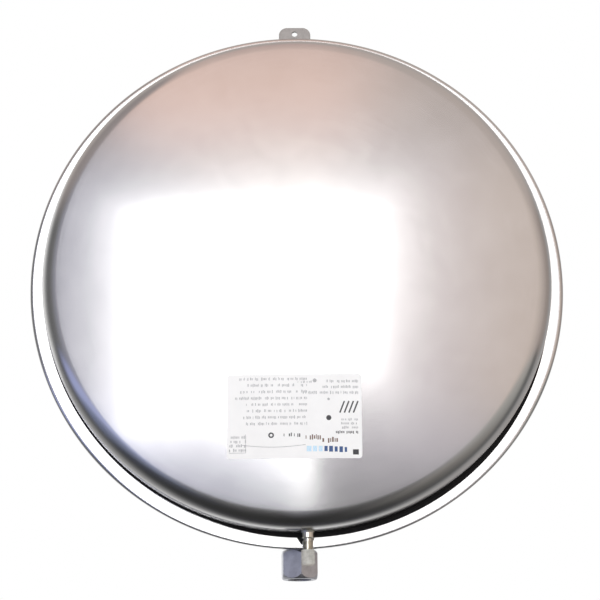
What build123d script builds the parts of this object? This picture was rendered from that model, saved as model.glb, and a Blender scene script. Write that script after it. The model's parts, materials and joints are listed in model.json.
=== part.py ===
from build123d import *
import math
import os

os.makedirs("parts", exist_ok=True)

# Flat round expansion vessel, upright: the disc's axis lies along Y, its gas side faces -Y, +Z is up.
# The origin is the centre of the water connection's mouth, which faces straight down.
# Lengths in millimetres. "r" is a distance from the disc's axis, "d" a depth from the rim's middle plane (+ = rear).

# ---- driving dimensions -------------------------------------------------------------------------------------------
SHEET = 1.2            # steel sheet of both pans
RUBBER = 1.6           # membrane thickness
CLAMPED = 1.0          # rubber left between the folded sheets
RIM_R = 193.5          # outside radius of the folded rim
RING_R = 183.7         # inner edge of the fold's front leg, where the leg is widest
EDGE_R = 178.5         # the leg's edge is a circle off the disc's centre: its radius,
EDGE_OFF = 7.9         # its offset,
EDGE_DIR = -63.0       # and the offset's direction, from +X towards +Z
WALL_R = 182.6         # outside radius of both pans' walls
SHOULDER_R = 15.0      # outside radius of the shoulder between wall and crown
CROWN_R = 900.0        # outside radius of both crowns
ROOT_R = 1.5           # outside radius of the bend between wall and flange
FRONT_WALL = 14.75     # depth of the front wall's end, before the rim's middle plane
REAR_WALL = 24.0       # depth of the rear wall's end, behind the rim's middle plane
FLANGE_R = 189.4       # edge of the front pan's flange

DISC_Z = 212.5         # height of the disc's axis above the mouth of the water connection
RIM_Y = -17.0          # the rim's middle plane, before the water connection's axis

HEX_AF = 24.0          # water connection: hexagon across flats
HEX_TURN = 5.0         # turn of the hexagon off a corner that faces the front
HEX_LEN = 20.0
NECK_R = 9.5
THREAD_R = 8.331       # G 3/8 thread, major radius
THREAD_LEN = 12.0
WATER_R = 5.5          # water way

VALVE_X = 5.7          # gas valve's axis
VALVE_Y = RIM_Y - 8.0
STEM_R = 3.4           # root radius of the stem's outside thread
COLLAR_R = 4.5
CAP_R = 4.6
NOTCH_X = 4.2          # middle of the notch in the fold, beside the valve

LUG_W = 24.0
LUG_T = 2.0
LUG_TOP = 204.0        # above the disc's axis
LUG_CORNER = 6.2
LUG_HOLE_R = 2.15
LUG_HOLE_Z = 198.8     # above the disc's axis

LABEL_W, LABEL_H = 92.0, 57.0
LABEL_X, LABEL_Z = -3.0, -107.7   # from the disc's axis
LABEL_T = 0.15

disc_plane = Plane(origin=(0, RIM_Y, DISC_Z), x_dir=(1, 0, 0), z_dir=(0, 0, 1))  # local x = r, local y = d
disc_axis = Axis((0, RIM_Y, DISC_Z), (0, 1, 0))
valve_plane = Plane(origin=(VALVE_X, VALVE_Y, 0), x_dir=(1, 0, 0), z_dir=(0, -1, 0))  # local y = height
valve_axis = Axis((VALVE_X, VALVE_Y, 0), (0, 0, 1))
socket_axis = Axis((0, 0, 0), (0, 0, 1))


def on(cx, cy, r, deg):
    """Point of a circle, angle from local +x towards local +y."""
    return (cx + r * math.cos(math.radians(deg)), cy + r * math.sin(math.radians(deg)))


def pan_curves(side, wall_end, inset):
    """Wall end, shoulder and crown of a pan surface that lies `inset` inside the outer one.
    side is -1 for the front pan and +1 for the rear one. Returns the points from the wall to the apex."""
    shoulder_c = (WALL_R - SHOULDER_R, side * wall_end)
    reach = math.sqrt((CROWN_R - SHOULDER_R) ** 2 - shoulder_c[0] ** 2)
    crown_c = (0.0, side * (wall_end - reach))
    end = math.degrees(math.atan2(reach, shoulder_c[0]))  # where shoulder and crown are tangent
    rs, rc = SHOULDER_R - inset, CROWN_R - inset
    return {
        "wall": (WALL_R - inset, side * wall_end),
        "shoulder_mid": on(*shoulder_c, rs, side * end / 2),
        "shoulder_end": on(*shoulder_c, rs, side * end),
        "crown_mid": on(*crown_c, rc, side * (90 + end) / 2),
        "apex": (0.0, crown_c[1] + side * rc),
    }


# ---- front pan ----------------------------------------------------------------------------------------------------
half = SHEET / 2
root_c = (WALL_R + ROOT_R, -(half + ROOT_R))     # centre of the bend at the flange
out, inn = pan_curves(-1, FRONT_WALL, 0.0), pan_curves(-1, FRONT_WALL, SHEET)
with BuildPart() as front_shell:
    with BuildSketch(disc_plane):
        with BuildLine():
            Line((FLANGE_R, -half), (root_c[0], -half))
            ThreePointArc((root_c[0], -half), on(*root_c, ROOT_R, 135), (WALL_R, root_c[1]))
            Line((WALL_R, root_c[1]), out["wall"])
            ThreePointArc(out["wall"], out["shoulder_mid"], out["shoulder_end"])
            ThreePointArc(out["shoulder_end"], out["crown_mid"], out["apex"])
            Line(out["apex"], inn["apex"])
            ThreePointArc(inn["apex"], inn["crown_mid"], inn["shoulder_end"])
            ThreePointArc(inn["shoulder_end"], inn["shoulder_mid"], inn["wall"])
            Line(inn["wall"], (WALL_R - SHEET, root_c[1]))
            ThreePointArc((WALL_R - SHEET, root_c[1]), on(*root_c, ROOT_R + SHEET, 135), (root_c[0], half))
            Line((root_c[0], half), (FLANGE_R, half))
            Line((FLANGE_R, half), (FLANGE_R, -half))
        make_face()
    revolve(axis=disc_axis)
    # hole for the gas valve, in the wall's lowest part
    with BuildSketch(Plane.XY.offset(DISC_Z - WALL_R - 3)):
        with Locations((VALVE_X, VALVE_Y)):
            Circle(4.05)
    extrude(amount=8, mode=Mode.SUBTRACT)

# ---- rear pan, with the folded rim --------------------------------------------------------------------------------
back0, back1 = half + CLAMPED, half + CLAMPED + SHEET     # faces of the rear flange: 1.6 and 2.8
fold_c = (RIM_R - back1, 0.0)
rroot_c = (WALL_R + ROOT_R, back1 + ROOT_R)
out, inn = pan_curves(1, REAR_WALL, 0.0), pan_curves(1, REAR_WALL, SHEET)
with BuildPart() as rear_shell:
    with BuildSketch(disc_plane):
        with BuildLine():
            Line((RING_R + 0.35, -back0), (fold_c[0], -back0))
            ThreePointArc((fold_c[0], -back0), (fold_c[0] + back0, 0), (fold_c[0], back0))
            Line((fold_c[0], back0), (rroot_c[0], back0))
            ThreePointArc((rroot_c[0], back0), on(*rroot_c, ROOT_R + SHEET, 225), (WALL_R - SHEET, rroot_c[1]))
            Line((WALL_R - SHEET, rroot_c[1]), inn["wall"])
            ThreePointArc(inn["wall"], inn["shoulder_mid"], inn["shoulder_end"])
            ThreePointArc(inn["shoulder_end"], inn["crown_mid"], inn["apex"])
            Line(inn["apex"], out["apex"])
            ThreePointArc(out["apex"], out["crown_mid"], out["shoulder_end"])
            ThreePointArc(out["shoulder_end"], out["shoulder_mid"], out["wall"])
            Line(out["wall"], (WALL_R, rroot_c[1]))
            ThreePointArc((WALL_R, rroot_c[1]), on(*rroot_c, ROOT_R, 225), (rroot_c[0], back1))
            Line((rroot_c[0], back1), (fold_c[0], back1))
            ThreePointArc((fold_c[0], back1), (RIM_R, 0), (fold_c[0], -back1))
            Line((fold_c[0], -back1), (RING_R + 0.35, -back1))
            # the leg's cut edge, slightly rounded
            ThreePointArc((RING_R + 0.35, -back1), on(RING_R + 0.35, -back1 + 0.35, 0.35, 225), (RING_R, -back1 + 0.35))
            Line((RING_R, -back1 + 0.35), (RING_R, -back0 - 0.35))
            ThreePointArc((RING_R, -back0 - 0.35), on(RING_R + 0.35, -back0 - 0.35, 0.35, 135), (RING_R + 0.35, -back0))
        make_face()
    revolve(axis=disc_axis)
    # the front leg is narrower at the lower right, as folded
    with BuildSketch(Plane.XZ.offset(-(RIM_Y - back1 - 1.0))):
        with Locations((EDGE_OFF * math.cos(math.radians(EDGE_DIR)), DISC_Z + EDGE_OFF * math.sin(math.radians(EDGE_DIR)))):
            Circle(EDGE_R)
    extrude(amount=-(1.0 + SHEET + 0.001), mode=Mode.SUBTRACT)
    # notch in the front leg, where the gas valve passes over the rim
    with BuildSketch(Plane.XZ.offset(-(RIM_Y - back1 - 1.0))):
        with BuildLine():
            Polyline(
                (NOTCH_X - 6.9, DISC_Z - RING_R + 2.0),
                (NOTCH_X - 6.2, DISC_Z - RING_R - 1.2),
                (NOTCH_X - 3.2, DISC_Z - 190.4),
                (NOTCH_X + 4.0, DISC_Z - 190.6),
                (NOTCH_X + 6.2, DISC_Z - RING_R - 1.6),
                (NOTCH_X + 6.6, DISC_Z - RING_R + 2.0),
                close=True,
            )
        make_face()
    extrude(amount=-(1.0 + SHEET + 0.001), mode=Mode.SUBTRACT)
    # water way into the vessel, in the wall's lowest part
    with BuildSketch(Plane.XY.offset(DISC_Z - WALL_R - 3)):
        Circle(WATER_R)
    extrude(amount=8, mode=Mode.SUBTRACT)

# ---- membrane: its edge is folded round the front flange, the rest lies against the rear pan ------------------------
gap = 0.3
mo = pan_curves(1, REAR_WALL, SHEET + gap)
mi = pan_curves(1, REAR_WALL, SHEET + gap + RUBBER)
edge_c = (fold_c[0] - 0.4, 0.0)
lip0, lip1 = WALL_R + 0.1, RING_R - 0.05
with BuildPart() as diaphragm:
    with BuildSketch(disc_plane):
        with BuildLine():
            # water side
            Line((edge_c[0], back0), (rroot_c[0], back0))
            ThreePointArc((rroot_c[0], back0), on(rroot_c[0], back0 + 3.0, 3.0, 225), (rroot_c[0] - 3.0, back0 + 3.0))
            Line((rroot_c[0] - 3.0, back0 + 3.0), mo["wall"])
            ThreePointArc(mo["wall"], mo["shoulder_mid"], mo["shoulder_end"])
            ThreePointArc(mo["shoulder_end"], mo["crown_mid"], mo["apex"])
            Line(mo["apex"], mi["apex"])
            # gas side
            ThreePointArc(mi["apex"], mi["crown_mid"], mi["shoulder_end"])
            ThreePointArc(mi["shoulder_end"], mi["shoulder_mid"], mi["wall"])
            Line(mi["wall"], (mi["wall"][0], half + 3.0))
            ThreePointArc((mi["wall"][0], half + 3.0), on(mi["wall"][0] + 3.0, half + 3.0, 3.0, 225), (mi["wall"][0] + 3.0, half))
            Line((mi["wall"][0] + 3.0, half), (FLANGE_R + 0.02, half))
            Line((FLANGE_R + 0.02, half), (FLANGE_R + 0.02, -half))
            Line((FLANGE_R + 0.02, -half), (root_c[0], -half))
            # lip that stands in the groove between the wall and the fold
            Line((root_c[0], -half), (root_c[0], -half - 0.05))
            ThreePointArc((root_c[0], -half - 0.05), on(*root_c, ROOT_R - 0.05, 115), on(*root_c, ROOT_R - 0.05, 160))
            Line(on(*root_c, ROOT_R - 0.05, 160), (lip0, root_c[1] - 0.4))
            Line((lip0, root_c[1] - 0.4), (lip0, -back1 - 0.1))
            ThreePointArc((lip0, -back1 - 0.1), ((lip0 + lip1) / 2, -back1 - 0.45), (lip1, -back1 - 0.1))
            Line((lip1, -back1 - 0.1), (lip1, -back0 + 0.02))
            Line((lip1, -back0 + 0.02), (RING_R + 0.4, -back0))
            Line((RING_R + 0.4, -back0), (edge_c[0], -back0))
            ThreePointArc((edge_c[0], -back0), (edge_c[0] + back0, 0), (edge_c[0], back0))
        make_face()
    revolve(axis=disc_axis)

# ---- water connection: hexagon socket with a neck, welded on the rear pan's wall -----------------------------------
hex_corner = HEX_AF / math.sqrt(3)
wo = pan_curves(1, REAR_WALL, -0.02)
with BuildPart() as connection_socket:
    with BuildSketch():
        RegularPolygon(HEX_AF / 2, 6, major_radius=False, rotation=-90 + HEX_TURN)
    extrude(amount=HEX_LEN)
    # turned chamfers on both ends of the hexagon
    with BuildSketch(Plane.XZ):
        with BuildLine():
            Polyline(
                (11.4, 0), (12.6, 1.1), (13.4, 2.6), (13.95, 4.6), (13.95, HEX_LEN - 2.6), (11.5, HEX_LEN), (0, HEX_LEN), (0, 0), close=True
            )
        make_face()
    revolve(axis=socket_axis, mode=Mode.INTERSECT)
    # neck, and its foot on the pan
    with BuildSketch(Plane.XZ):
        with BuildLine():
            Line((0, HEX_LEN - 1), (NECK_R, HEX_LEN - 1))
            Line((NECK_R, HEX_LEN - 1), (NECK_R, 27.2))
            ThreePointArc((NECK_R, 27.2), (NECK_R + 0.7, 29.0), (NECK_R + 2.4, 29.8))
            Line((NECK_R + 2.4, 29.8), (NECK_R + 2.4, 33))
            Line((NECK_R + 2.4, 33), (0, 33))
            Line((0, 33), (0, HEX_LEN - 1))
        make_face()
    revolve(axis=socket_axis)
    # the foot follows the pan's outside
    with BuildSketch(disc_plane):
        with BuildLine():
            Line((150, 0), (WALL_R + 0.02, 0))
            Line((WALL_R + 0.02, 0), wo["wall"])
            ThreePointArc(wo["wall"], wo["shoulder_mid"], wo["shoulder_end"])
            Line(wo["shoulder_end"], (150, wo["shoulder_end"][1]))
            Line((150, wo["shoulder_end"][1]), (150, 0))
        make_face()
    revolve(axis=disc_axis, mode=Mode.SUBTRACT)
    # bore: thread, run-out, water way
    with BuildSketch(Plane.XZ):
        with BuildLine():
            Polyline(
                (0, -1), (THREAD_R, -1), (THREAD_R, THREAD_LEN), (THREAD_R - 1.2, THREAD_LEN + 0.8), (WATER_R, THREAD_LEN + 0.8),
                (WATER_R, 40), (0, 40), close=True,
            )
        make_face()
    revolve(axis=socket_axis, mode=Mode.SUBTRACT)

# ---- fixing lug behind the rim ------------------------------------------------------------------------------------
with BuildPart() as fixing_lug:
    with BuildSketch(Plane.XZ.offset(-(RIM_Y + back1))):
        with BuildLine():
            b0 = math.sqrt(185.2**2 - (LUG_W / 2) ** 2)
            ThreePointArc((-LUG_W / 2, DISC_Z + b0), (0, DISC_Z + 185.2), (LUG_W / 2, DISC_Z + b0))
            Polyline(
                (LUG_W / 2, DISC_Z + b0), (LUG_W / 2, DISC_Z + LUG_TOP), (-LUG_W / 2, DISC_Z + LUG_TOP), (-LUG_W / 2, DISC_Z + b0)
            )
        make_face()
    extrude(amount=-LUG_T)
    top_corners = fixing_lug.edges().filter_by(Axis.Y).sort_by(Axis.Z)[-2:]
    fillet(top_corners, LUG_CORNER)
    fillet(fixing_lug.faces().sort_by(Axis.Y)[0].edges().sort_by(Axis.Z)[-1], 0.25)
    fillet(fixing_lug.faces().sort_by(Axis.Y)[-1].edges().sort_by(Axis.Z)[-1], 0.25)
    with BuildSketch(Plane.XZ.offset(-(RIM_Y + back1 - 1))):
        with Locations((0, DISC_Z + LUG_HOLE_Z)):
            Circle(LUG_HOLE_R)
    extrude(amount=-(LUG_T + 2), mode=Mode.SUBTRACT)

# ---- gas valve stem, through the front pan's wall -------------------------------------------------------------------
STEM_MOUTH = 9.9
COLLAR_END = DISC_Z - 187.0        # 25.5
SEAT_Z = STEM_MOUTH + 6.0
fo = pan_curves(-1, FRONT_WALL, -0.02)
with BuildPart() as valve_stem:
    with BuildSketch(valve_plane):
        with BuildLine():
            Polyline(
                (0, STEM_MOUTH), (2.95, STEM_MOUTH), (STEM_R, STEM_MOUTH + 0.5), (STEM_R, COLLAR_END - 0.9), (STEM_R - 0.35, COLLAR_END - 0.6),
                (STEM_R - 0.35, COLLAR_END), (COLLAR_R - 0.5, COLLAR_END), (COLLAR_R, COLLAR_END + 0.5), (COLLAR_R, 33.0), (0, 33.0), close=True,
            )
        make_face()
    revolve(axis=valve_axis)
    # the collar follows the pan's wall
    with BuildSketch(disc_plane):
        with BuildLine():
            Polyline((150, 4), (WALL_R + 0.02, 4), fo["wall"], (150, fo["wall"][1]), close=True)
        make_face()
    revolve(axis=disc_axis, mode=Mode.SUBTRACT)
    # spigot through the wall, just into the gas space
    with BuildSketch(Plane.XY.offset(DISC_Z - WALL_R - 1)):
        with Locations((VALVE_X, VALVE_Y)):
            Circle(4.0)
    extrude(amount=3.2)
    # bore: entry, core thread, cone seat, chamber
    with BuildSketch(valve_plane):
        with BuildLine():
            Polyline(
                (0, STEM_MOUTH - 1), (2.75, STEM_MOUTH - 1), (2.75, STEM_MOUTH), (2.6, STEM_MOUTH + 0.15), (2.6, SEAT_Z), (2.0, SEAT_Z + 1.4),
                (2.0, 34.0), (0, 34.0), close=True,
            )
        make_face()
    revolve(axis=valve_axis, mode=Mode.SUBTRACT)

# ---- valve core -----------------------------------------------------------------------------------------------------
HEAD0, HEAD1 = STEM_MOUTH + 0.6, STEM_MOUTH + 4.4
with BuildPart() as core_head:
    with BuildSketch(Plane.XY.offset(HEAD0)):
        with Locations((VALVE_X, VALVE_Y)):
            Circle(2.5)
            Circle(0.95, mode=Mode.SUBTRACT)
    extrude(amount=HEAD1 - HEAD0)
    # two side cuts leave the bridge that the core key grips
    with BuildSketch(Plane.XY.offset(HEAD0)):
        with Locations((VALVE_X, VALVE_Y + 2.0), (VALVE_X, VALVE_Y - 2.0)):
            Rectangle(6, 2.2)
    extrude(amount=1.5, mode=Mode.SUBTRACT)
    chamfer(core_head.edges().filter_by(GeomType.CIRCLE).sort_by(Axis.Z)[-1], 0.2)

BARREL0, BARREL1 = HEAD1 + 0.02, STEM_MOUTH + 12.4
with BuildPart() as core_barrel:
    with BuildSketch(valve_plane):
        with BuildLine():
            Polyline(
                (1.4, BARREL0), (2.3, BARREL0), (2.3, BARREL0 + 0.5), (1.8, BARREL0 + 0.5), (1.8, BARREL1 - 0.35), (1.45, BARREL1),
                (0.8, BARREL1), (0.8, BARREL1 - 0.7), (1.4, BARREL1 - 0.7), close=True,
            )
        make_face()
    revolve(axis=valve_axis)

with BuildPart() as core_gasket:
    with BuildSketch(valve_plane):
        with BuildLine():
            Polyline(
                (1.82, BARREL0 + 0.52), (2.45, BARREL0 + 0.52), (2.45, SEAT_Z + 0.28), (1.98, SEAT_Z + 1.38), (1.82, SEAT_Z + 1.38), close=True
            )
        make_face()
    revolve(axis=valve_axis)

PIN_TIP = STEM_MOUTH + 0.4
with BuildPart() as core_pin:
    with BuildSketch(valve_plane):
        with BuildLine():
            Polyline(
                (0, PIN_TIP), (0.3, PIN_TIP), (0.42, PIN_TIP + 0.15), (0.42, BARREL0 + 1.0), (1.15, BARREL0 + 1.15), (1.15, BARREL0 + 1.5),
                (0.42, BARREL0 + 1.5), (0.42, BARREL1 + 1.3), (0.7, BARREL1 + 1.36), (0.7, BARREL1 + 1.7), (0.4, BARREL1 + 1.95),
                (0, BARREL1 + 1.95), close=True,
            )
        make_face()
    revolve(axis=valve_axis)

with BuildPart() as core_seal:
    with BuildSketch(valve_plane):
        with BuildLine():
            Polyline((0.44, BARREL1 + 0.02), (1.42, BARREL1 + 0.02), (1.42, BARREL1 + 0.72), (0.44, BARREL1 + 0.72), close=True)
        make_face()
    revolve(axis=valve_axis)

with BuildPart() as core_cup:
    with BuildSketch(valve_plane):
        with BuildLine():
            Polyline(
                (1.44, BARREL1 + 0.25), (1.62, BARREL1 + 0.25), (1.62, BARREL1 + 1.1), (1.45, BARREL1 + 1.28), (0.44, BARREL1 + 1.28),
                (0.44, BARREL1 + 0.74), (1.44, BARREL1 + 0.74), close=True,
            )
        make_face()
    revolve(axis=valve_axis)

SPRING0, SPRING1 = BARREL0 + 1.66, BARREL1 - 0.86
with BuildPart() as core_spring:
    with BuildLine() as coil:
        Helix(pitch=(SPRING1 - SPRING0) / 6.5, height=SPRING1 - SPRING0, radius=1.12, center=(VALVE_X, VALVE_Y, SPRING0))
    with BuildSketch(Plane(origin=coil.line @ 0, z_dir=coil.line % 0)):
        Circle(0.13)
    sweep()

# ---- cap and its seal -----------------------------------------------------------------------------------------------
CAP0, CAP1 = 7.3, 17.8             # closed end, open end
with BuildPart() as valve_cap:
    with BuildSketch(valve_plane):
        with BuildLine():
            Polyline(
                (0, CAP0), (CAP_R - 0.9, CAP0), (CAP_R - 0.25, CAP0 + 0.5), (CAP_R, CAP0 + 1.2), (CAP_R, CAP1 - 0.4), (CAP_R - 0.3, CAP1),
                (4.05, CAP1), (3.95, CAP1 - 0.15), (3.95, CAP0 + 1.5), (0, CAP0 + 1.5), close=True,
            )
        make_face()
    revolve(axis=valve_axis)
    # grip grooves
    with BuildSketch(Plane.XY.offset(CAP0 + 1.6)):
        with Locations((VALVE_X, VALVE_Y)):
            with PolarLocations(CAP_R + 0.05, 26):
                Circle(0.3)
    extrude(amount=CAP1 - CAP0 - 3.0, mode=Mode.SUBTRACT)

with BuildPart() as cap_seal:
    with BuildSketch(Plane.XY.offset(CAP0 + 1.55)):
        with Locations((VALVE_X, VALVE_Y)):
            Circle(3.7)
    extrude(amount=1.0)

# ---- label, which follows the crown ---------------------------------------------------------------------------------
lo, li = pan_curves(-1, FRONT_WALL, -LABEL_T - 0.02), pan_curves(-1, FRONT_WALL, -0.02)
with BuildPart() as label:
    with BuildSketch(disc_plane):
        with BuildLine():
            ThreePointArc(lo["apex"], lo["crown_mid"], lo["shoulder_end"])
            Line(lo["shoulder_end"], li["shoulder_end"])
            ThreePointArc(li["shoulder_end"], li["crown_mid"], li["apex"])
            Line(li["apex"], lo["apex"])
        make_face()
    revolve(axis=disc_axis)
    with BuildSketch(Plane.XZ.offset(-(RIM_Y - 60))):
        with Locations((LABEL_X, DISC_Z + LABEL_Z)):
            RectangleRounded(LABEL_W, LABEL_H, 2.0)
    extrude(amount=-60, mode=Mode.INTERSECT)

# ---- output ---------------------------------------------------------------------------------------------------------
pieces = {
    "front_shell": front_shell, "rear_shell": rear_shell, "diaphragm": diaphragm, "connection_socket": connection_socket,
    "fixing_lug": fixing_lug, "valve_stem": valve_stem, "core_head": core_head, "core_barrel": core_barrel, "core_gasket": core_gasket,
    "core_pin": core_pin, "core_seal": core_seal, "core_cup": core_cup, "core_spring": core_spring, "valve_cap": valve_cap,
    "cap_seal": cap_seal, "label": label,
}
for name, piece in pieces.items():
    piece.part.label = name
    export_step(piece.part, f"parts/{name}.step")
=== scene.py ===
import bpy
import bmesh
import json
import math
import random
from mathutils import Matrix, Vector


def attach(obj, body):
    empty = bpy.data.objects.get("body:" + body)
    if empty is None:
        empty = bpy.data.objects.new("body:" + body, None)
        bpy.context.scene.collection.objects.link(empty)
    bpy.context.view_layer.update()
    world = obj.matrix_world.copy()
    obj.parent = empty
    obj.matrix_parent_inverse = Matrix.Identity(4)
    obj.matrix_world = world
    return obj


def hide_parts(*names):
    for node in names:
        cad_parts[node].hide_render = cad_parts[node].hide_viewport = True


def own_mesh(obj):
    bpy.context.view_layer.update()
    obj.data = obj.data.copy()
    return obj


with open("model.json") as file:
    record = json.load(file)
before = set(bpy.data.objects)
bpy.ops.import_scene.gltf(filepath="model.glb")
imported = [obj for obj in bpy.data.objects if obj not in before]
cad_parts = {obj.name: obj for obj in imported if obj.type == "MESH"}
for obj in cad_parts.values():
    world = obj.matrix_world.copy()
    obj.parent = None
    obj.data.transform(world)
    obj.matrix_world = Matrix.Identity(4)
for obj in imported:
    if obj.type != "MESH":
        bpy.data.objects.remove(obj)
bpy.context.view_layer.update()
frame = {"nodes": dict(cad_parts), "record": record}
nodes = frame["nodes"]

# ---- sizes, in millimetres, as in the solids ------------------------------------------------------------------------
MM = 0.001
SHEET, CLAMPED, HALF = 1.2, 1.0, 0.6
RIM_R, RING_R, WALL_R = 193.5, 183.7, 182.6
SHOULDER_R, CROWN_R, ROOT_R = 15.0, 900.0, 1.5
FRONT_WALL, REAR_WALL = 14.75, 24.0
FLANGE_R = 189.4
DISC_Z, RIM_Y = 212.5, -17.0
BACK0, BACK1 = HALF + CLAMPED, HALF + CLAMPED + SHEET
FOLD_R = RIM_R - BACK1              # the fold's outer edge is a half circle round this radius
EDGE_R, EDGE_OFF, EDGE_DIR = 178.5, 7.9, math.radians(-63.0)
STEM_R, COLLAR_R, STEM_MOUTH, COLLAR_END = 3.4, 4.5, 9.9, 25.5
VALVE_X, VALVE_Y = 5.7, RIM_Y - 8.0
NOTCH_X = 4.2
LABEL_W, LABEL_H, LABEL_X, LABEL_Z = 92.0, 57.0, -3.0, -107.7
CENTRE = Vector((0, RIM_Y, DISC_Z)) * MM


# ---- mesh helpers ---------------------------------------------------------------------------------------------------
def put(name, verts, faces, body, smooth=True, sharp=None, scale=MM):
    """A mesh object from points and faces, which rides on a body."""
    me = bpy.data.meshes.new(name)
    me.from_pydata([[c * scale for c in v] for v in verts], [], faces)
    me.validate()
    bm = bmesh.new()
    bm.from_mesh(me)
    bmesh.ops.recalc_face_normals(bm, faces=bm.faces)
    for f in bm.faces:
        f.smooth = smooth
    if sharp is not None:
        for e in bm.edges:
            if len(e.link_faces) == 2 and e.calc_face_angle(0.0) > math.radians(sharp):
                e.smooth = False
    bm.to_mesh(me)
    bm.free()
    o = bpy.data.objects.new(name, me)
    bpy.context.scene.collection.objects.link(o)
    if body:
        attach(o, body)
    return o


def arc(cx, cy, r, a0, a1, n, first=True):
    """n steps along a circle from a0 to a1 degrees."""
    out = []
    for i in range(0 if first else 1, n + 1):
        a = math.radians(a0 + (a1 - a0) * i / n)
        out.append((cx + r * math.cos(a), cy + r * math.sin(a)))
    return out


def seg(a, b, n, first=False):
    return [(a[0] + (b[0] - a[0]) * i / n, a[1] + (b[1] - a[1]) * i / n) for i in range(0 if first else 1, n + 1)]


def pan(side, wall_end, inset):
    """Centres and turning angle of a pan's shoulder and crown."""
    sx, sy = WALL_R - SHOULDER_R, side * wall_end
    reach = math.sqrt((CROWN_R - SHOULDER_R) ** 2 - sx ** 2)
    return sx, sy, side * (wall_end - reach), math.degrees(math.atan2(reach, sx)), SHOULDER_R - inset, CROWN_R - inset


def pan_line(side, wall_end, inset, n_shoulder=26, n_crown=44):
    """From the wall's end over the shoulder and the crown to the apex."""
    sx, sy, cy, end, rs, rc = pan(side, wall_end, inset)
    pts = arc(sx, sy, rs, 0, side * end, n_shoulder)
    crown = []
    for i in range(1, n_crown + 1):
        a = end + (90 - end) * i / n_crown
        crown.append((rc * math.cos(math.radians(a)), cy + side * rc * math.sin(math.radians(a))))
    crown[-1] = (0.0, cy + side * rc)
    return pts + crown


def lathe(name, profile, angles, body, bend=None, closed=True, sharp=None):
    """Turns a closed (r, d) line about the disc's axis. Points on the axis become one vertex. bend(r, d, angle) moves points."""
    verts, rings = [], []
    for r, d in profile:
        if r < 1e-6:
            verts.append((0.0, RIM_Y + d, DISC_Z))
            rings.append([len(verts) - 1])
            continue
        ring = []
        for a in angles:
            rr, dd = bend(r, d, a) if bend else (r, d)
            verts.append((rr * math.cos(a), RIM_Y + dd, DISC_Z + rr * math.sin(a)))
            ring.append(len(verts) - 1)
        rings.append(ring)
    faces, n = [], len(angles)
    pairs = list(zip(rings, rings[1:] + ([rings[0]] if closed else [])))
    for p, q in pairs:
        if len(p) == 1 and len(q) == 1:
            continue
        for i in range(n):
            j = (i + 1) % n
            if len(p) == 1:
                faces.append((p[0], q[j], q[i]))
            elif len(q) == 1:
                faces.append((p[i], p[j], q[0]))
            else:
                faces.append((p[i], p[j], q[j], q[i]))
    return put(name, verts, faces, body, sharp=sharp)


def bore_out(o, centre, axis, radius, length, segments=48):
    """Cuts a round hole with a boolean, applied."""
    n = Vector(axis).normalized()
    u = n.orthogonal().normalized()
    v = n.cross(u)
    c = Vector(centre)
    verts, faces = [], []
    for s in (-0.5, 0.5):
        for i in range(segments):
            a = 2 * math.pi * i / segments
            verts.append(tuple(c + n * (s * length) + (u * math.cos(a) + v * math.sin(a)) * radius))
    for i in range(segments):
        j = (i + 1) % segments
        faces.append((i, j, segments + j, segments + i))
    faces.append(tuple(range(segments))[::-1])
    faces.append(tuple(range(segments, 2 * segments)))
    cut = put("cutter", verts, faces, None, smooth=False)
    mod = o.modifiers.new("hole", "BOOLEAN")
    mod.operation, mod.solver, mod.object = "DIFFERENCE", "EXACT", cut
    bpy.context.view_layer.update()
    dg = bpy.context.evaluated_depsgraph_get()
    made = bpy.data.meshes.new_from_object(o.evaluated_get(dg))
    o.modifiers.clear()
    old = o.data
    o.data = made
    bpy.data.meshes.remove(old)
    me = cut.data
    bpy.data.objects.remove(cut)
    bpy.data.meshes.remove(me)


# ---- materials ------------------------------------------------------------------------------------------------------
def material(name):
    m = bpy.data.materials.new(name)
    m.use_nodes = True
    t = m.node_tree
    t.nodes.clear()
    out = t.nodes.new("ShaderNodeOutputMaterial")
    b = t.nodes.new("ShaderNodeBsdfPrincipled")
    t.links.new(b.outputs[0], out.inputs[0])
    return m, t, b


def node(t, kind, **props):
    n = t.nodes.new(kind)
    for k, v in props.items():
        if k == "inputs":
            for name, val in v.items():
                n.inputs[name].default_value = val
        else:
            setattr(n, k, v)
    return n


def ramp(t, stops, fac, interpolation="LINEAR"):
    n = t.nodes.new("ShaderNodeValToRGB")
    n.color_ramp.interpolation = interpolation
    e = n.color_ramp.elements
    while len(e) < len(stops):
        e.new(0.5)
    for el, (pos, col) in zip(e, stops):
        el.position = pos
        el.color = (*col, 1.0) if len(col) == 3 else col
    t.links.new(fac, n.inputs[0])
    return n


def maths(t, op, a, b=None, c=None, clamp=False):
    n = t.nodes.new("ShaderNodeMath")
    n.operation = op
    n.use_clamp = clamp
    for i, v in enumerate((a, b, c)):
        if v is None:
            continue
        if isinstance(v, (int, float)):
            n.inputs[i].default_value = v
        else:
            t.links.new(v, n.inputs[i])
    return n.outputs[0]


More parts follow.
